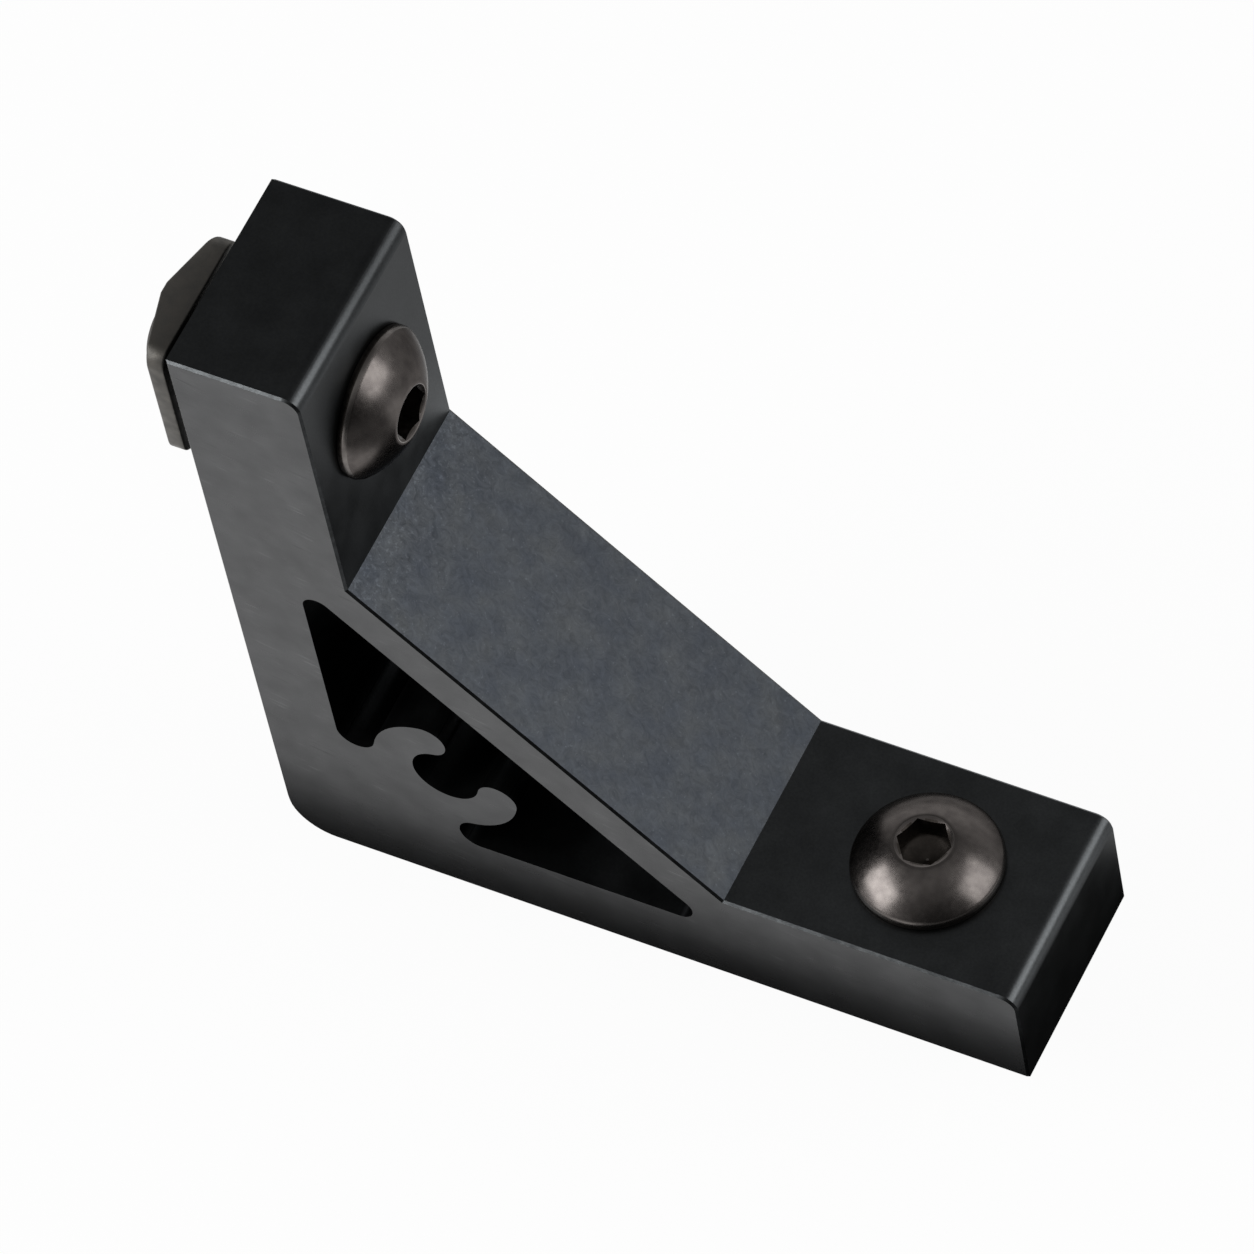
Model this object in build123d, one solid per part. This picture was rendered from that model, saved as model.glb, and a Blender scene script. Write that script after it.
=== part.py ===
"""Inside corner bracket for 20 mm slotted rail, with its two screws and two slot nuts.

The bracket is a slice of an aluminium extrusion: two legs at a right angle, tied by an
inclined web, with a triangular window that holds an open screw port in its square corner.
One leg lies on a base rail (along +X), the other stands against an upright rail (along +Z).
Millimetres, +Z up. The origin is where the base leg's screw axis crosses the face that
bears on the base rail, half way across the width.
"""
import math
import os
from build123d import *

# ---- bracket profile, measured from the heel, the corner where the two rail faces meet
WEB_REACH = 30.6          # heel to the line where the web runs into a leg's pad
PAD_LENGTH = 19.4         # from that line to the leg's end
PAD_THICKNESS = 8.7       # pad, from the rail's face to the screw's seat
WIDTH = 14.0              # length of the extrusion's slice
WEB_THICKNESS = 3.15
LEG_WALL = 5.2            # between the rail's face and the window
HEEL_RADIUS = 3.0         # clears the inside corner of the two rails
TIP_RADIUS = 1.1          # outer corner of each pad
WINDOW_CORNER_RADIUS = 1.0
EDGE_BREAK = 0.15         # sawn edges of the outline

# ---- screw port in the window's square corner, open towards the web
PORT_BORE = 4.4           # takes a thread-forming M5 screw
PORT_WALL = 2.6           # thickness of its two lips
PORT_GAP = 2.4            # narrowest space between a lip and the leg's wall
PORT_GAP_RISE = 1.35      # how far the rounded end of that space lies past the port's centre
PORT_OPENING = 58.0       # degrees from the diagonal to the middle of each lip's round nose

# ---- M5 button head screw with a hexagon socket
SCREW_FROM_END = 9.0      # screw axis to the leg's end
THREAD_DIAMETER = 5.0
HOLE_CLEARANCE = 0.25     # round the screw in the pad
SCREW_LENGTH = 14.0       # under the head
SCREW_TIP_CHAMFER = 0.4
HEAD_DIAMETER = 9.5
HEAD_HEIGHT = 2.5
HEAD_RIM = 0.5            # straight side below the dome
HEAD_FLAT = 4.0           # diameter of the flat on top
SOCKET_FLATS = 3.0        # across flats
SOCKET_DEPTH = 1.6
SOCKET_MOUTH = 3.8        # diameter of the countersink round the hexagon
SOCKET_POINT = 0.5        # depth of the drill's cone under the hexagon

# ---- slot nut
SLOT_LIP = 1.8            # thickness of the rail's lips, which pad and nut clamp between them
NUT_SLACK = 0.3           # left so that the nut slides in before the screw is tightened
NUT_LENGTH = 10.0
NUT_WIDTH = 9.8
NUT_THICKNESS = 2.3
NUT_EDGE = 1.1            # straight side of each wing
NUT_KEEL_WIDTH = 0.8      # flat left along the middle of the bevelled underside
NUT_CORNER_RADIUS = 1.2
THREAD_CLEARANCE = 0.05   # between the screw's plain shank and the nut's plain bore

# ---- worked out
LEG_LENGTH = WEB_REACH + PAD_LENGTH
SCREW_FROM_HEEL = LEG_LENGTH - SCREW_FROM_END
NUT_TOP = -(SLOT_LIP + NUT_SLACK)
PORT_RADIUS = PORT_BORE / 2 + PORT_WALL
PORT_CENTRE = LEG_WALL + PORT_GAP + PORT_RADIUS
WINDOW_SUM = WEB_REACH + PAD_THICKNESS - WEB_THICKNESS * math.sqrt(2)

PROFILE_PLANE = Plane.XZ                     # sketches lie in XZ, and the width runs along Y
DIAGONAL = Axis((0, 0, 0), (1, 0, 1))        # half a turn about it swaps the two legs
SKETCH_DIAGONAL = Plane((0, 0, 0), z_dir=(1, -1, 0))
TO_ORIGIN = Pos(-SCREW_FROM_HEEL, 0, 0)      # the heel's frame to the part's frame


def other_leg(shape):
    """The same piece on the upright leg: half a turn about the 45 degree line through the heel."""
    return shape.rotate(DIAGONAL, 180)


def round_corner(face, corner, radius):
    """Round the sketch corner that lies at the given point."""
    vertex = min(face.vertices(), key=lambda v: (Vector(v) - Vector(*corner)).length)
    return fillet([vertex], radius)


def outer_profile():
    """The L of the two legs with the web's 45 degree face across it."""
    end, top, reach = LEG_LENGTH, PAD_THICKNESS, WEB_REACH
    corners = [(0, 0), (end, 0), (end, top), (reach, top), (top, reach), (top, end), (0, end)]
    face = make_face(Polyline(*corners, close=True))
    face = round_corner(face, (0, 0), HEEL_RADIUS)
    for x, z in ((end, top), (top, end)):
        face = round_corner(face, (x, z), TIP_RADIUS)
    return face


def window_half():
    """Half of the window's outline, from the web's middle round to the bottom of the port."""
    centre, wall = PORT_CENTRE, LEG_WALL
    # the end of the space beside the lip: a circle that touches the wall and the lip's outside
    across = PORT_GAP + PORT_RADIUS
    root = (across**2 + PORT_GAP_RISE**2 - PORT_RADIUS**2) / (2 * (across + PORT_RADIUS))
    root_x = centre + PORT_GAP_RISE
    touch = math.degrees(math.atan2(across - root, -PORT_GAP_RISE))
    nose = 45 - PORT_OPENING
    nose_radius = PORT_WALL / 2
    nose_at = PORT_RADIUS - nose_radius
    nose_x = centre + nose_at * math.cos(math.radians(nose))
    nose_z = centre + nose_at * math.sin(math.radians(nose))
    corner = WINDOW_CORNER_RADIUS
    corner_x = WINDOW_SUM - wall - (1 + math.sqrt(2)) * corner

    sharp_end = CenterArc((corner_x, wall + corner), corner, 45, -135)
    beside_lip = CenterArc((root_x, wall + root), root, -90, touch - 270)
    lip_outside = CenterArc((centre, centre), PORT_RADIUS, touch - 180, nose - touch + 180)
    lip_nose = CenterArc((nose_x, nose_z), nose_radius, nose, 180)
    bore = CenterArc((centre, centre), PORT_BORE / 2, nose, -135 - nose)
    web_side = Line((WINDOW_SUM / 2, WINDOW_SUM / 2), sharp_end @ 0)
    leg_side = Line(sharp_end @ 1, beside_lip @ 0)
    return [web_side, sharp_end, leg_side, beside_lip, lip_outside, lip_nose, bore]


def window_profile():
    """The triangular window round the open screw port, alike on both sides of the diagonal."""
    half = window_half()
    return make_face(half + [mirror(edge, about=SKETCH_DIAGONAL) for edge in half])


def screw_hole():
    """Clearance hole down through the base leg's pad."""
    radius = THREAD_DIAMETER / 2 + HOLE_CLEARANCE
    return Pos(SCREW_FROM_HEEL, 0, PAD_THICKNESS / 2) * Cylinder(radius, PAD_THICKNESS * 1.5)


def corner_bracket():
    """A slice of the extrusion, its sawn outline deburred, drilled once through each pad."""
    slab = extrude(PROFILE_PLANE * outer_profile(), WIDTH / 2, both=True)
    sawn = slab.faces().sort_by(Axis.Y)
    slab = chamfer(sawn[0].edges() + sawn[-1].edges(), EDGE_BREAK)
    slab -= extrude(PROFILE_PLANE * window_profile(), WIDTH, both=True)
    return slab - screw_hole() - other_leg(screw_hole())


def button_head_screw():
    """Screw on the base leg, its domed head seated on the pad."""
    rim, top = HEAD_DIAMETER / 2, HEAD_FLAT / 2
    # the dome is part of a ball whose centre lies on the screw's axis
    ball = (top**2 + HEAD_HEIGHT**2 - rim**2 - HEAD_RIM**2) / (2 * (HEAD_HEIGHT - HEAD_RIM))
    radius = math.hypot(top, HEAD_HEIGHT - ball)
    shank, tip = THREAD_DIAMETER / 2, THREAD_DIAMETER / 2 - SCREW_TIP_CHAMFER
    rim_angle = math.degrees(math.atan2(HEAD_RIM - ball, rim))
    top_angle = math.degrees(math.atan2(HEAD_HEIGHT - ball, top))
    side = Polyline(
        (0, HEAD_HEIGHT), (0, -SCREW_LENGTH), (tip, -SCREW_LENGTH),
        (shank, SCREW_TIP_CHAMFER - SCREW_LENGTH), (shank, 0), (rim, 0), (rim, HEAD_RIM),
    )
    dome = CenterArc((0, ball), radius, rim_angle, top_angle - rim_angle)
    flat = Line(dome @ 1, (0, HEAD_HEIGHT))
    screw = revolve(Plane.XZ * make_face([side, dome, flat]), Axis.Z)
    return Pos(SCREW_FROM_HEEL, 0, PAD_THICKNESS) * (screw - hexagon_socket())


def hexagon_socket():
    """The socket in the head: countersunk mouth, hexagon and the drill's cone below it."""
    corners = SOCKET_FLATS / math.sqrt(3)
    floor = HEAD_HEIGHT - SOCKET_DEPTH
    hexagon = extrude(Pos(0, 0, floor) * RegularPolygon(corners, 6), SOCKET_DEPTH * 2)
    mouth_depth = (SOCKET_MOUTH - SOCKET_FLATS) / 4
    mouth = Pos(0, 0, HEAD_HEIGHT - mouth_depth / 2) * Cone(
        SOCKET_FLATS / 2, SOCKET_MOUTH / 2, mouth_depth
    )
    point = Pos(0, 0, floor - SOCKET_POINT / 2) * Cone(0, SOCKET_FLATS / 2, SOCKET_POINT)
    return hexagon + mouth + point


def slot_nut():
    """Bevelled bar that hangs on the screw of the base leg, ready to slide into a rail's slot."""
    half, keel, bottom = NUT_WIDTH / 2, NUT_KEEL_WIDTH / 2, NUT_TOP - NUT_THICKNESS
    right = [(half, NUT_TOP), (half, NUT_TOP - NUT_EDGE), (keel, bottom)]
    left = [(-y, z) for y, z in reversed(right)]
    section = Plane.YZ * make_face(Polyline(*right, *left, close=True))
    bar = extrude(section, NUT_LENGTH / 2, both=True)
    bar = fillet(bar.edges().filter_by(Axis.Z), NUT_CORNER_RADIUS)
    bore = Cylinder(THREAD_DIAMETER / 2 + THREAD_CLEARANCE, 3 * NUT_THICKNESS)
    return Pos(SCREW_FROM_HEEL, 0, 0) * (bar - Pos(0, 0, NUT_TOP) * bore)


PIECES = {
    "corner_bracket": corner_bracket(),
    "base_leg_screw": button_head_screw(),
    "upright_leg_screw": other_leg(button_head_screw()),
    "base_leg_slot_nut": slot_nut(),
    "upright_leg_slot_nut": other_leg(slot_nut()),
}

os.makedirs("parts", exist_ok=True)
for name, piece in PIECES.items():
    export_step(TO_ORIGIN * piece, f"parts/{name}.step")
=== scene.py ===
"""Two way corner connector for slotted aluminium rail, dressed for display.

The sections follow the order in which it is put together: the anodised bracket, the two
button head screws through its pads, and the two slot nuts that hang on them.
"""
import math

import bmesh
import bpy
from mathutils import Matrix, Vector


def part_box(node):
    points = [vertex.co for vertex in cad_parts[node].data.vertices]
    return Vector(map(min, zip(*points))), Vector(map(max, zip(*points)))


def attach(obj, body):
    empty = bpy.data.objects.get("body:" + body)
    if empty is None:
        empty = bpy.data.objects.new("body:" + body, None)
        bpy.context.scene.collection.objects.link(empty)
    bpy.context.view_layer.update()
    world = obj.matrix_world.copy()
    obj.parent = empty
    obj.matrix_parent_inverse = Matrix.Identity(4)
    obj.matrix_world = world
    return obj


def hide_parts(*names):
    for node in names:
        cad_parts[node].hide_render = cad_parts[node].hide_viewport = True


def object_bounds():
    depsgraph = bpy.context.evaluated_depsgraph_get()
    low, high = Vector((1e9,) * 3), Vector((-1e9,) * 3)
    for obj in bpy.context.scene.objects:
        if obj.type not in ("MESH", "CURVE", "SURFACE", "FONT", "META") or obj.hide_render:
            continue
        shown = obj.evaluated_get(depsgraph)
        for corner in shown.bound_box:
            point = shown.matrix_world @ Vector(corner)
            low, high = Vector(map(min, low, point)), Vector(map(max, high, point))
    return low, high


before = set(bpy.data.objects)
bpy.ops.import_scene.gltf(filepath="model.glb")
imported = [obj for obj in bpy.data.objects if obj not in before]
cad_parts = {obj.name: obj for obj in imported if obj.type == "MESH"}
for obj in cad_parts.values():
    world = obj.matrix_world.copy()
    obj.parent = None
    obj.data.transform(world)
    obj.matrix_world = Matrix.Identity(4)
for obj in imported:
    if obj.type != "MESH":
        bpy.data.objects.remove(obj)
solid_low, solid_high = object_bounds()

# ---- Corner bracket ---------------------------------------------------------------
# A 14 mm slice of an aluminium extrusion with two legs, an inclined web and an open
# screw port. It is bead blasted and dyed black by anodising; the two sawn faces keep
# faint saw strokes and come out greyer. Its colour also holds painted light: a darker
# copy of the dye on the web, painted highlights on the upward edge breaks and the pads'
# round tips, painted shade on the other edge breaks and the upright's end, and painted
# reflected light low in the upright's fold. It stands as the solid model has it.
millimetre = 0.001


def corners(name):
    """Lowest and highest corner of a solid, to the nearest micrometre."""
    return [[round(part, 6) for part in corner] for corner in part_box(name)]


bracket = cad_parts["corner_bracket"]
bracket_low, bracket_high = corners("corner_bracket")
pad_thickness, fold_z = 8.7 * millimetre, 30.5 * millimetre
fold_x = bracket_low[0] + pad_thickness
dyed_black = (0.052, 0.055, 0.057, 1)
# the web's colours are a darker copy of the anodise's dye: painted shade
web_shaded_black, web_shaded_grey = (0.0330, 0.0372, 0.0445, 1), (0.0375, 0.040, 0.0425, 1)
sawn_black = (0.115, 0.116, 0.118, 1)
dulled_glance = (0.6, 0.6, 0.6, 1)
saw_angle, saw_stretch = math.radians(103), 14
blast_depth = 0.01 * millimetre


def node(tree, kind, inputs=None, **settings):
    """Add a shader node; each input is a plain value or the output of another node."""
    made = tree.nodes.new("ShaderNode" + kind)
    for setting, value in settings.items():
        setattr(made, setting, value)
    for socket, value in (inputs or {}).items():
        if isinstance(value, bpy.types.NodeSocket):
            tree.links.new(value, made.inputs[socket])
        else:
            made.inputs[socket].default_value = value
    return made


def maths(tree, operation, first, second=0.0):
    """A sum, comparison and so on of two values or sockets."""
    return node(tree, "Math", {0: first, 1: second}, operation=operation).outputs[0]


def times(tree, product, *others):
    """The product of two or more values or sockets."""
    for other in others:
        product = maths(tree, "MULTIPLY", product, other)
    return product


def lean(tree, direction, axis):
    """How far a direction leans along an axis: 1 along it, 0 across it, -1 against it."""
    made = node(tree, "VectorMath", {0: direction, 1: axis}, operation="DOT_PRODUCT")
    return made.outputs[1]


def choose(tree, share, first, second):
    """The first value where share is 0, the second where it is 1."""
    return node(tree, "Mix", {0: share, 2: first, 3: second}).outputs[0]


def blend(tree, share, first, second):
    """The first colour where share is 0, the second where it is 1."""
    made = node(tree, "Mix", {0: share, 6: first, 7: second}, data_type="RGBA")
    return made.outputs[2]


def between(tree, value, low, high, out_low=0.0, out_high=1.0):
    """Value taken from the range low to high onto the range out_low to out_high."""
    ends = {0: value, 1: low, 2: high, 3: out_low, 4: out_high}
    return node(tree, "MapRange", ends).outputs[0]


def grain(tree, places, size, detail=2.0, stretch=(1, 1, 1), rough=0.5, swirl=0.0):
    """Cloudy noise whose lumps are about size metres across."""
    spread = node(tree, "Mapping", {0: places, 3: stretch}).outputs[0]
    lumps = {"Vector": spread, "Scale": 1 / size, "Detail": detail,
             "Roughness": rough, "Distortion": swirl}
    return node(tree, "TexNoise", lumps).outputs[0]


def vary(tree, noise, low=0.0, high=1.0, calm=0.3):
    """A grain, which mostly lies between calm and 1 - calm, taken onto low to high."""
    return between(tree, noise, calm, 1 - calm, low, high)


def new_metal(name):
    """A metal's material, with its node tree, surface shader and texture coordinates."""
    material = bpy.data.materials.new(name)
    material.use_nodes = True
    tree = material.node_tree
    tree.nodes.clear()
    surface = node(tree, "BsdfPrincipled", {"Metallic": 1.0})
    node(tree, "OutputMaterial", {"Surface": surface.outputs[0]})
    return material, tree, surface, node(tree, "TexCoord").outputs


anodise, tree, surface, coordinates = new_metal("black_anodise")
place, facing = coordinates["Object"], coordinates["Normal"]
spot = node(tree, "SeparateXYZ", {0: place}).outputs
across = node(tree, "SeparateXYZ", {0: facing}).outputs

# which kind of face a point is on: sawn, the inclined web, or another drawn one
sideways = maths(tree, "ABSOLUTE", across[1])
sawn = maths(tree, "GREATER_THAN", sideways, 0.9)
drawn = maths(tree, "SUBTRACT", 1.0, sawn)
inclined = maths(tree, "GREATER_THAN", lean(tree, facing, (0.7071, 0, 0.7071)), 0.9995)
below_tips = maths(tree, "LESS_THAN", maths(tree, "ADD", spot[0], spot[2]), 4 * millimetre)
web = times(tree, inclined, below_tips)

# clouds of shade, the grain of the bead blasting, and a slow drift of hue
clouds = grain(tree, place, 2.4 * millimetre, 3)
speckle = grain(tree, place, 0.16 * millimetre, 2, rough=0.6)
tinge = grain(tree, place, 2.2 * millimetre, 4, rough=0.55)

# the web's mottle, with flecks, rubbed harder towards the fold at the upright
mottle = grain(tree, place, 0.8 * millimetre, 5, stretch=(1, 1.2, 1), rough=0.8, swirl=1.2)
near_fold = between(tree, spot[0], fold_x + 4.3 * millimetre, fold_x)
flecks = grain(tree, place, 0.25 * millimetre, 2, rough=0.6)
flecks = maths(tree, "ADD", flecks, times(tree, near_fold, 0.09))
flecks = between(tree, flecks, 0.66, 0.72, 0.0, 0.36)
rubbed = times(tree, maths(tree, "SUBTRACT", mottle, 0.5), near_fold, 0.7)
mottled = maths(tree, "ADD", vary(tree, mottle, 0.75, 1.25), flecks)
mottled = maths(tree, "ADD", mottled, rubbed)
mottled = times(tree, mottled, vary(tree, tinge, 0.91, 1.09))

# the saw's strokes, all one way, and scratches along them, here lighter and there darker
along_saw = {0: place, 2: (0, saw_angle, 0), 3: (1, 1, saw_stretch)}
along_saw = node(tree, "Mapping", along_saw, vector_type="TEXTURE").outputs[0]
strokes = grain(tree, along_saw, 0.18 * millimetre, 3, rough=0.5)
nicks = grain(tree, along_saw, 0.22 * millimetre, 2)
light_nicks, dark_nicks = (0.65, 0.70), (0.34, 0.29)
scratches = maths(tree, "SUBTRACT", between(tree, nicks, *light_nicks),
                  between(tree, nicks, *dark_nicks))
scratches = times(tree, scratches, between(tree, clouds, 0.45, 0.6), 0.3)
brushed = maths(tree, "ADD", vary(tree, strokes, 0.98, 1.02), scratches)

# patchy wear along the edges of the sawn faces, with a painted highlight on the edges that look
# up and painted shade on the others
rim = times(tree, maths(tree, "GREATER_THAN", sideways, 0.3), drawn)
chafed = grain(tree, place, 0.6 * millimetre, 3, rough=0.6)
rim_highlight_and_wear = times(tree, between(tree, across[2], 0.52, 0.68, 0.6, 2.3),
                 vary(tree, chafed, 0.75, 1.2, calm=0.35))

# a painted highlight along the round tip of each pad, which on the upright fades away from the
# front
off_web = maths(tree, "SUBTRACT", 1.0, web)
round_tip = times(tree, maths(tree, "MINIMUM", across[0], across[2]), off_web)
tip_highlight = between(tree, round_tip, 0.3, 0.65, 1.0, 1.5)
upright_tip = times(tree, between(tree, round_tip, 0.35, 0.65),
                    maths(tree, "GREATER_THAN", spot[2], 30 * millimetre),
                    between(tree, spot[1], -6 * millimetre, 1 * millimetre))
tip_highlight = times(tree, tip_highlight, between(tree, upright_tip, 0.0, 1.0, 1.0, 0.62))

# painted reflected light, lighter low in the fold on the upright's pad, and painted shade, darker
# on the upright's end
painted_fold_light = times(tree, maths(tree, "GREATER_THAN", across[0], 0.9),
                between(tree, spot[2], fold_z + 7.5 * millimetre, fold_z + 0.5 * millimetre),
                maths(tree, "GREATER_THAN", spot[2], fold_z))
painted_end_shade = times(tree, maths(tree, "GREATER_THAN", across[2], 0.9),
               maths(tree, "GREATER_THAN", spot[2], bracket_high[2] - 1 * millimetre))

# the dye of each kind of face, the web's as a darker painted-shade copy, shaded by all of these,
# and its gloss
web_shaded_dye = blend(tree, vary(tree, tinge, calm=0.25), web_shaded_black, web_shaded_grey)
dye = blend(tree, sawn, blend(tree, web, dyed_black, web_shaded_dye), sawn_black)
fine = choose(tree, web, vary(tree, speckle, 0.90, 1.10), mottled)
fine = choose(tree, sawn, fine, brushed)
shade = times(tree, vary(tree, clouds, 0.89, 1.11), fine,
              choose(tree, rim, tip_highlight, rim_highlight_and_wear),
              between(tree, painted_fold_light, 0.0, 1.0, 1.0, 1.8),
              between(tree, painted_end_shade, 0.0, 1.0, 1.0, 0.66))
dye = node(tree, "VectorMath", {0: dye, "Scale": shade}, operation="SCALE").outputs[0]
tree.links.new(dye, surface.inputs["Base Color"])
surface.inputs["Specular Tint"].default_value = dulled_glance
satin = vary(tree, clouds, 0.28, 0.34)
sawn_satin = vary(tree, strokes, 0.266, 0.274)
tree.links.new(choose(tree, sawn, satin, sawn_satin), surface.inputs["Roughness"])
blasted = times(tree, speckle, between(tree, sawn, 0.0, 1.0, 1.0, 0.2))
blasted = node(tree, "Bump", {"Strength": 0.3, "Distance": blast_depth, "Height": blasted})
tree.links.new(blasted.outputs[0], surface.inputs["Normal"])

bracket.data.materials.clear()
bracket.data.materials.append(anodise)

# ---- Button head screws -----------------------------------------------------------
# Two M5 x 14 button head screws with 3 mm hexagon sockets, cold headed and rolled from
# steel. The domes are polished to a dark bronze; rim, underside and thread keep their black
# oil, which on the rim's side is also painted shade under the dome. Thin lighter rings at
# the rim's top and the socket's mouth are wear and painted highlights. Each head seats on
# its pad and the rolled thread runs down into the slot nut.
head_radius, head_height, head_rim = 4.75 * millimetre, 2.5 * millimetre, 0.5 * millimetre
seat_height = corners("base_leg_screw")[1][2] - head_height
rim_profile = ((0.12, 0.0), (0.03, 0.04), (0.0, 0.14), (0.0, 0.38))  # mm inwards, mm up
flat_radius, mouth_radius = 1.95 * millimetre, 1.78 * millimetre
mouth_round, mouth_height = 0.05 * millimetre, head_height - 0.015 * millimetre
socket_radius, socket_depth, drill_point = 1.5 * millimetre, 1.6 * millimetre, 0.5 * millimetre
neck_radius, neck_length, neck_fillet = 2.2 * millimetre, 0.6 * millimetre, 0.25 * millimetre
screw_length, tip_chamfer = 14.0 * millimetre, 0.4 * millimetre
thread_length, thread_run_out = 13.2 * millimetre, 1.4 * millimetre
thread_radius, thread_pitch = 2.5 * millimetre, 0.8 * millimetre
thread_depth, crest_flat, root_flat = 0.61 * thread_pitch, 1 / 8, 1 / 4
round_steps, thread_steps, dome_steps, rim_break = 72, 240, 24, 0.03
bronze_light, bronze_dark = (0.124, 0.112, 0.106, 1), (0.098, 0.088, 0.084, 1)
bronze_glance = (0.5, 0.5, 0.5, 1)
oil_and_shade_dark, oil_and_shade_light = (0.046, 0.040, 0.036, 1), (0.064, 0.056, 0.050, 1)
worn_glint_dark, worn_glint_light = (0.115, 0.104, 0.098, 1), (0.195, 0.18, 0.17, 1)
dimple_depth = 0.01 * millimetre


def thread_height(turn, along):
    """Height of an M5 thread above its root, for a share of a turn and a distance along it."""
    offset = abs((along / thread_pitch - turn) % 1 - 0.5)
    flank = (1 - crest_flat - root_flat) / 2
    return min(1, max(0, (0.5 - root_flat / 2 - offset) / flank)) * thread_depth


def finished(name, shape):
    """A new object with the shape as its mesh, its faces turned outwards."""
    bmesh.ops.recalc_face_normals(shape, faces=shape.faces)
    mesh = bpy.data.meshes.new(name)
    shape.to_mesh(mesh)
    shape.free()
    piece = bpy.data.objects.new(name, mesh)
    bpy.context.scene.collection.objects.link(piece)
    return piece


def loft(name, rings):
    """A closed mesh through rings, each a function from a share of a turn to (radius, z)."""
    shape = bmesh.new()
    rows = []
    for ring in rings:
        row = []
        for step in range(round_steps):
            radius, z = ring(step / round_steps)
            angle = 2 * math.pi * step / round_steps
            row.append(shape.verts.new((radius * math.cos(angle), radius * math.sin(angle), z)))
        rows.append(row)
    for lower, upper in zip(rows, rows[1:]):
        for step in range(round_steps):
            after = (step + 1) % round_steps
            shape.faces.new((lower[step], lower[after], upper[after], upper[step]))
    for row, turned in ((rows[0], True), (rows[-1], False)):
        middle = shape.verts.new(sum((v.co for v in row), Vector()) / round_steps)
        for step in range(round_steps):
            rim = (row[step], row[(step + 1) % round_steps])
            shape.faces.new((middle, *(reversed(rim) if turned else rim)))
    return finished(name, shape)


def plain(radius, z):
    """A round ring of a turned surface."""
    return lambda turn: (radius, z)


def threaded(z, crest, limit=1.0):
    """A ring of the thread at height z, cut down to limit where a chamfer or run-out needs it."""
    return lambda turn: (min(crest - thread_depth + thread_height(turn, z), limit), z)


def screw_rings():
    """Rings of the screw from its tip to the drill point, with the head's seat at height 0."""
    rings = [plain(thread_radius - 2 * tip_chamfer, -screw_length)]
    for step in range(thread_steps + 1):
        z = -screw_length + thread_length * step / thread_steps
        chamfer = thread_radius - tip_chamfer + (z + screw_length)
        run_out = thread_radius - max(0, z + thread_run_out) * 0.8
        rings.append(threaded(z, thread_radius, min(chamfer, run_out)))
    rings += [plain(neck_radius, -neck_length), plain(neck_radius, -neck_fillet)]
    rings += [plain(neck_radius + neck_fillet, 0)]
    rings += [plain(head_radius - inwards * millimetre, up * millimetre)
              for inwards, up in rim_profile]

    # the dome is a ball through the rim's top and the edge of the flat round the socket
    ball_centre = (flat_radius**2 + head_height**2 - head_radius**2 - head_rim**2) / (
        2 * (head_height - head_rim))
    ball = math.hypot(flat_radius, head_height - ball_centre)
    low = math.atan2(head_rim - ball_centre, head_radius) + rim_break
    high = math.atan2(head_height - ball_centre, flat_radius)
    for step in range(dome_steps + 1):
        angle = low + (high - low) * step / dome_steps
        rings.append(plain(ball * math.cos(angle), ball_centre + ball * math.sin(angle)))
    rings += [plain(mouth_radius + mouth_round, head_height), plain(mouth_radius, mouth_height)]

    def hexagon(turn):
        """Distance of the socket's wall from the axis."""
        return socket_radius / math.cos((turn * 6 % 1 - 0.5) * math.pi / 3)

    for share in (0.5, 1.0):
        def mouth(turn, share=share):
            radius = mouth_radius + (hexagon(turn) - mouth_radius) * share
            return radius, mouth_height - (mouth_radius - radius) / 2
        rings.append(mouth)
    floor = head_height - socket_depth
    for drop in (0.25, 1.0):
        def wall(turn, drop=drop):
            start = mouth_height - (mouth_radius - hexagon(turn)) / 2
            return hexagon(turn), start + (floor - start) * drop
        rings.append(wall)
    rings += [plain(socket_radius * 0.98, floor)]
    rings += [plain(socket_radius * 0.9, floor - 0.05 * millimetre)]
    rings += [plain(0.1 * millimetre, floor - drill_point)]
    return rings


screw_steel, tree, surface, coordinates = new_metal("dark_bronze_steel")
hammered = grain(tree, coordinates["Object"], 0.7 * millimetre, 1)
scuffs = grain(tree, coordinates["Object"], 0.25 * millimetre, 2, rough=0.5)
tint = blend(tree, vary(tree, hammered, calm=0.35), bronze_light, bronze_dark)
tree.links.new(tint, surface.inputs["Base Color"])
surface.inputs["Specular Tint"].default_value = bronze_glance
tree.links.new(vary(tree, scuffs, 0.23, 0.29), surface.inputs["Roughness"])
dimples = node(tree, "Bump", {"Strength": 0.2, "Distance": dimple_depth, "Height": hammered})
tree.links.new(dimples.outputs[0], surface.inputs["Normal"])

# black oil for thread, underside and socket, and painted shade on the rim's side
black_oil_and_shade, tree, surface, coordinates = new_metal("black_oil_and_shade_steel")
film = grain(tree, coordinates["Object"], 0.4 * millimetre, 3)
tint = blend(tree, vary(tree, film, calm=0.35), oil_and_shade_dark, oil_and_shade_light)
tree.links.new(tint, surface.inputs["Base Color"])
tree.links.new(vary(tree, film, 0.30, 0.44), surface.inputs["Roughness"])

# a lighter steel for the thin rings at the rim's top and the socket's mouth: wear and painted
# highlights
worn_edge_and_glint, tree, surface, coordinates = new_metal("worn_and_glint_steel")
wear_and_glint_grain = grain(tree, coordinates["Object"], 1.5 * millimetre, 3)
tint = blend(tree, vary(tree, wear_and_glint_grain, calm=0.35), worn_glint_dark, worn_glint_light)
tree.links.new(tint, surface.inputs["Base Color"])
tree.links.new(vary(tree, wear_and_glint_grain, 0.32, 0.20), surface.inputs["Roughness"])

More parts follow.
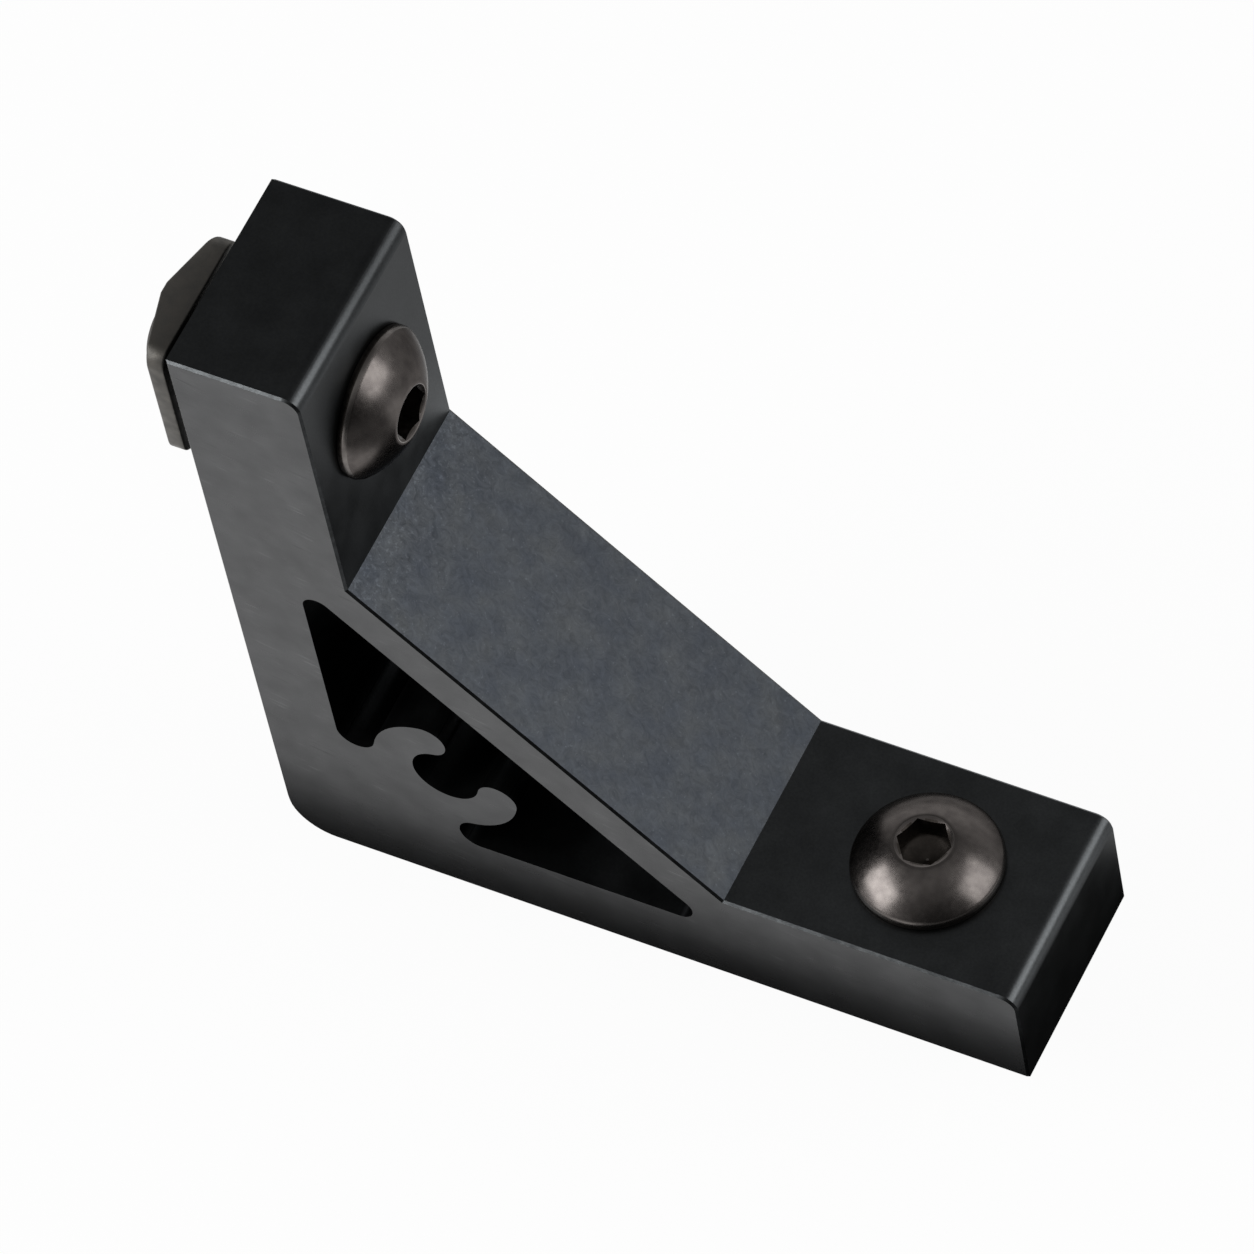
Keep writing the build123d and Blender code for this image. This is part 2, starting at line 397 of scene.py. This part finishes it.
# half a turn about the 45 degree line through the heel carries the base leg's hardware
# to the upright leg; the last number of each leg is the angle at which its screw stopped
to_heel = Matrix.Translation((-bracket_low[0], 0, 0))
swap = Matrix(((0, 0, 1, 0), (0, -1, 0, 0), (1, 0, 0, 0), (0, 0, 0, 1)))
onto_upright = to_heel.inverted() @ swap @ to_heel
legs = (("base", Matrix.Identity(4), math.radians(8)),
        ("upright", onto_upright, math.radians(20)))

for leg, moved, turned in legs:
    screw = loft(leg + "_leg_button_screw", screw_rings())
    bronze, oiled_and_shaded, bright = 0, 1, 2
    for steel in (screw_steel, black_oil_and_shade, worn_edge_and_glint):
        screw.data.materials.append(steel)
    for face in screw.data.polygons:
        out, up = math.hypot(face.center.x, face.center.y), face.center.z
        # the rim's side and all below keep the black oil; on the rim's side it is also painted
        # shade
        if up < head_rim - 0.13 * millimetre:
            face.material_index = oiled_and_shaded
        # the rim's top: a thin ring of wear and painted highlight
        elif up < head_rim + 0.02 * millimetre:
            face.material_index = bright
        elif out < mouth_radius and up < head_height - 0.1 * millimetre:
            face.material_index = oiled_and_shaded
        # the socket's mouth: a thin ring of wear and painted highlight
        elif mouth_radius - 0.02 * millimetre < out < mouth_radius + 0.06 * millimetre:
            face.material_index = bright
        else:
            face.material_index = bronze
    seat = Matrix.Translation((0, 0, seat_height)) @ Matrix.Rotation(turned, 4, "Z")
    screw.data.transform(moved @ seat)
    screw.data.shade_smooth()
    screw.data.set_sharp_from_angle(angle=math.radians(32))
    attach(screw, "root")
    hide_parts(leg + "_leg_screw")

# ---- Slot nuts --------------------------------------------------------------------
# Two bevelled steel bars, tapped M5, that hang on the screws below the pads and slide
# into a rail's slot from its end. They are pressed, tumbled until the edges are soft
# and nickel plated.
nut_length, nut_width, nut_thickness = 10.0 * millimetre, 9.8 * millimetre, 2.3 * millimetre
nut_top, wing, keel = corners("base_leg_slot_nut")[1][2], 1.1 * millimetre, 0.8 * millimetre
nut_bottom = nut_top - nut_thickness
corner, corner_steps, soft_edge = 1.2 * millimetre, 8, 0.14 * millimetre
tap_overrun, tap_steps, tap_clearance = 1 * millimetre, 89, 0.03 * millimetre
tap_core, tap_countersink = thread_radius - 0.25 * millimetre, 0.35 * millimetre
plate_light, plate_dark = (0.115, 0.108, 0.098, 1), (0.080, 0.077, 0.072, 1)
pit_depth = 0.012 * millimetre

plate_grey, tree, surface, coordinates = new_metal("nickel_plate")
dull = grain(tree, coordinates["Object"], 0.8 * millimetre, 4)
pits = grain(tree, coordinates["Object"], 0.12 * millimetre, 2, rough=0.7)
tint = blend(tree, vary(tree, dull), plate_light, plate_dark)
tree.links.new(tint, surface.inputs["Base Color"])
tree.links.new(vary(tree, dull, 0.34, 0.48), surface.inputs["Roughness"])
tumbled = node(tree, "Bump", {"Strength": 0.4, "Distance": pit_depth, "Height": pits})
tree.links.new(tumbled.outputs[0], surface.inputs["Normal"])


def nut_blank(name):
    """The bar with rounded plan corners, its underside cut away to a narrow keel."""
    shape = bmesh.new()
    outline = []
    for quarter, (sx, sy) in enumerate(((1, 1), (-1, 1), (-1, -1), (1, -1))):
        middle = (sx * (nut_length / 2 - corner), sy * (nut_width / 2 - corner))
        for step in range(corner_steps + 1):
            angle = math.pi / 2 * (quarter + step / corner_steps)
            outline.append((middle[0] + corner * math.cos(angle),
                            middle[1] + corner * math.sin(angle)))
    bottom = [shape.verts.new((x, y, nut_bottom)) for x, y in outline]
    face = shape.faces.new(bottom)
    raised = bmesh.ops.extrude_face_region(shape, geom=[face])
    top = [v for v in raised["geom"] if isinstance(v, bmesh.types.BMVert)]
    bmesh.ops.translate(shape, verts=top, vec=(0, 0, nut_thickness))
    for side in (1, -1):
        run, rise = nut_width / 2 - keel / 2, nut_thickness - wing
        point = (0, side * keel / 2, nut_bottom)
        outward = Vector((0, side * rise, -run)).normalized()
        everything = shape.verts[:] + shape.edges[:] + shape.faces[:]
        cut = bmesh.ops.bisect_plane(shape, geom=everything, plane_co=point, plane_no=outward,
                                     clear_outer=True)
        rim = [e for e in cut["geom_cut"] if isinstance(e, bmesh.types.BMEdge)]
        bmesh.ops.edgeloop_fill(shape, edges=rim)
    return finished(name, shape)


def apply_modifiers(piece):
    """Keep what the modifiers make of the mesh, and drop them."""
    bpy.context.view_layer.update()
    seen = piece.evaluated_get(bpy.context.evaluated_depsgraph_get())
    made = bpy.data.meshes.new_from_object(seen)
    piece.modifiers.clear()
    piece.data = made


def tap_rings():
    """The tap that cuts the nut's thread, in step with the screw's own thread."""
    start, end = nut_bottom - tap_overrun, nut_top + tap_overrun
    rings = []
    for step in range(tap_steps + 1):
        z = start + (end - start) * step / tap_steps
        inside = min(z - nut_bottom, nut_top - z)
        core = tap_core + max(0, tap_countersink - max(0, inside))
        ring = threaded(z - seat_height, thread_radius + tap_clearance)
        rings.append(lambda turn, ring=ring, z=z, core=core: (max(ring(turn)[0], core), z))
    return rings


for leg, moved, turned in legs:
    nut = nut_blank(leg + "_leg_tapped_nut")
    softened = nut.modifiers.new("softened", "BEVEL")
    softened.width, softened.segments, softened.limit_method = soft_edge, 3, "ANGLE"
    apply_modifiers(nut)
    tap = loft("tap", tap_rings())
    tap.data.transform(Matrix.Rotation(turned, 4, "Z"))
    tapped = nut.modifiers.new("tapped", "BOOLEAN")
    tapped.object, tapped.operation, tapped.solver = tap, "DIFFERENCE", "EXACT"
    apply_modifiers(nut)
    bpy.data.objects.remove(tap)
    nut.data.transform(moved)
    nut.data.shade_smooth()
    nut.data.set_sharp_from_angle(angle=math.radians(35))
    nut.data.materials.clear()
    nut.data.materials.append(plate_grey)
    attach(nut, "root")
    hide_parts(leg + "_leg_slot_nut")

# ---- Floor ------------------------------------------------------------------------
# A plain white paper floor under the connector, out past everything that is seen. What
# the connector mirrors of it holds painted shade: dark close round its foot, where little
# light falls, and dimmer far behind and to the front right.
floor_reach, floor_gap = 6.0, 0.02 * millimetre
paper_white, studio_white = (0.9, 0.9, 0.9, 1), (1, 1, 1, 1)
foot_spare = 2 * millimetre
middle, half = (solid_low + solid_high) / 2, (solid_high - solid_low) / 2

floor_mesh = bpy.data.meshes.new("floor")
edge = [(x * floor_reach, y * floor_reach, 0) for x, y in ((-1, -1), (1, -1), (1, 1), (-1, 1))]
floor_mesh.from_pydata(edge, [], [(0, 1, 2, 3)])
floor = bpy.data.objects.new("floor", floor_mesh)
bpy.context.scene.collection.objects.link(floor)
floor.location.z = solid_low.z - floor_gap

paper = bpy.data.materials.new("white_paper")
paper.use_nodes = True
tree = paper.node_tree
tree.nodes.clear()
on_floor = node(tree, "TexCoord").outputs["Object"]
spot = node(tree, "SeparateXYZ", {0: on_floor}).outputs
beyond_foot = on_floor
for operation, amount in (
    ("SUBTRACT", (middle.x + foot_spare, middle.y, 0)),
    ("ABSOLUTE", (0, 0, 0)),
    ("SUBTRACT", (half.x + foot_spare, half.y, 0)),
    ("MAXIMUM", (0, 0, 0)),
):
    beyond_foot = node(tree, "VectorMath", {0: beyond_foot, 1: amount}, operation=operation)
    beyond_foot = beyond_foot.outputs[0]
clear_of_foot = node(tree, "VectorMath", {0: beyond_foot}, operation="LENGTH").outputs[1]
# painted shade in the floor's mirrored glow: dark near the foot, dimmer far behind and to the
# front right
open_floor = between(tree, clear_of_foot, 4.9 * millimetre, 7.2 * millimetre, 0.03, 1.0)
far_behind = between(tree, spot[1], 30 * millimetre, 90 * millimetre, 1.0, 0.4)
to_right = between(tree, spot[0], 8 * millimetre, 28 * millimetre)
to_front = between(tree, spot[1], 14 * millimetre, -2 * millimetre)
front_right = maths(tree, "SUBTRACT", 1.0, times(tree, to_right, to_front, 0.8))
open_floor = times(tree, open_floor, far_behind, front_right)

path = node(tree, "LightPath").outputs
mirrored = maths(tree, "MAXIMUM", path["Is Glossy Ray"], path["Is Transmission Ray"])
share = maths(tree, "MAXIMUM", times(tree, path["Is Camera Ray"], 0.95), mirrored)
glow = choose(tree, path["Is Camera Ray"], open_floor, 1.0)
lit = node(tree, "BsdfDiffuse", {"Color": paper_white})
white = node(tree, "Emission", {"Color": studio_white, "Strength": glow})
both = node(tree, "MixShader", {0: share, 1: lit.outputs[0], 2: white.outputs[0]})
node(tree, "OutputMaterial", {"Surface": both.outputs[0]})
floor_mesh.materials.append(paper)

# ---- Studio light -----------------------------------------------------------------
# Two soft boxes, one to the right and one to the left and in front, in a pale room that
# gets darker overhead and to the front right, with a light backdrop behind the connector
# and a low pale wall in front of it.
world = bpy.data.worlds.new("studio")
bpy.context.scene.world = world
world.use_nodes = True
tree = world.node_tree
tree.nodes.clear()
around = node(tree, "TexCoord").outputs["Generated"]
height = node(tree, "SeparateXYZ", {0: around}).outputs[2]
ceiling = lean(tree, around, (-0.33, 0.47, 0.82))
backdrop = lean(tree, around, (-0.42, 0.91, 0.0))
doorway = lean(tree, around, (0.58, -0.81, 0.0))
ahead = lean(tree, around, (-0.2, -0.98, 0.0))
room = between(tree, ceiling, 0.50, 0.88, 0.48, 0.22)
room = maths(tree, "ADD", room, between(tree, backdrop, 0.6, 0.95, 0.0, 0.5))
room = times(tree, room, between(tree, doorway, 0.35, 0.85, 1.0, 0.12))
low_wall = times(tree, between(tree, ahead, 0.85, 0.97), between(tree, height, 0.20, 0.10), 0.8)
room = maths(tree, "ADD", room, low_wall)
path = node(tree, "LightPath").outputs
strength = choose(tree, path["Is Camera Ray"], room, 1.0)
pale = node(tree, "Background", {"Color": studio_white, "Strength": strength})
node(tree, "OutputWorld", {"Surface": pale.outputs[0]})

for name, towards, (wide, high), away, power in (
    ("soft_box_right", (0.857, 0.214, 0.469), (0.31, 0.275), 0.45, 0.70),
    ("soft_box_left", (-0.700, -0.525, 0.484), (0.52, 0.38), 0.70, 3.12),
):
    lamp = bpy.data.lights.new(name, "AREA")
    lamp.shape, lamp.size, lamp.size_y, lamp.energy = "RECTANGLE", wide, high, power
    box = bpy.data.objects.new(name, lamp)
    bpy.context.scene.collection.objects.link(box)
    direction = Vector(towards).normalized()
    box.location = middle + direction * away
    box.rotation_euler = direction.to_track_quat("Z", "Y").to_euler()

# ---- Camera -----------------------------------------------------------------------
# High in front and to the right, looking down on the inside of the corner, tipped a
# little, with a long lens.
looked_at = Vector((-0.0194, 0.0019, 0.0212))
tipped = Vector((-0.2943, 0.7712, 0.5644))
camera = bpy.data.cameras.new("camera")
camera.lens, camera.sensor_width = 315, 36
camera.clip_start, camera.clip_end = 0.01, 20
eye = bpy.data.objects.new("camera", camera)
bpy.context.scene.collection.objects.link(eye)
eye.location = (0.1999, -0.2944, 0.5627)
forward = (looked_at - eye.location).normalized()
upward = (tipped - forward * tipped.dot(forward)).normalized()
rightward = forward.cross(upward)
eye.rotation_euler = Matrix((rightward, upward, -forward)).transposed().to_euler()
bpy.context.scene.camera = eye
bpy.context.scene.view_settings.view_transform = "Standard"
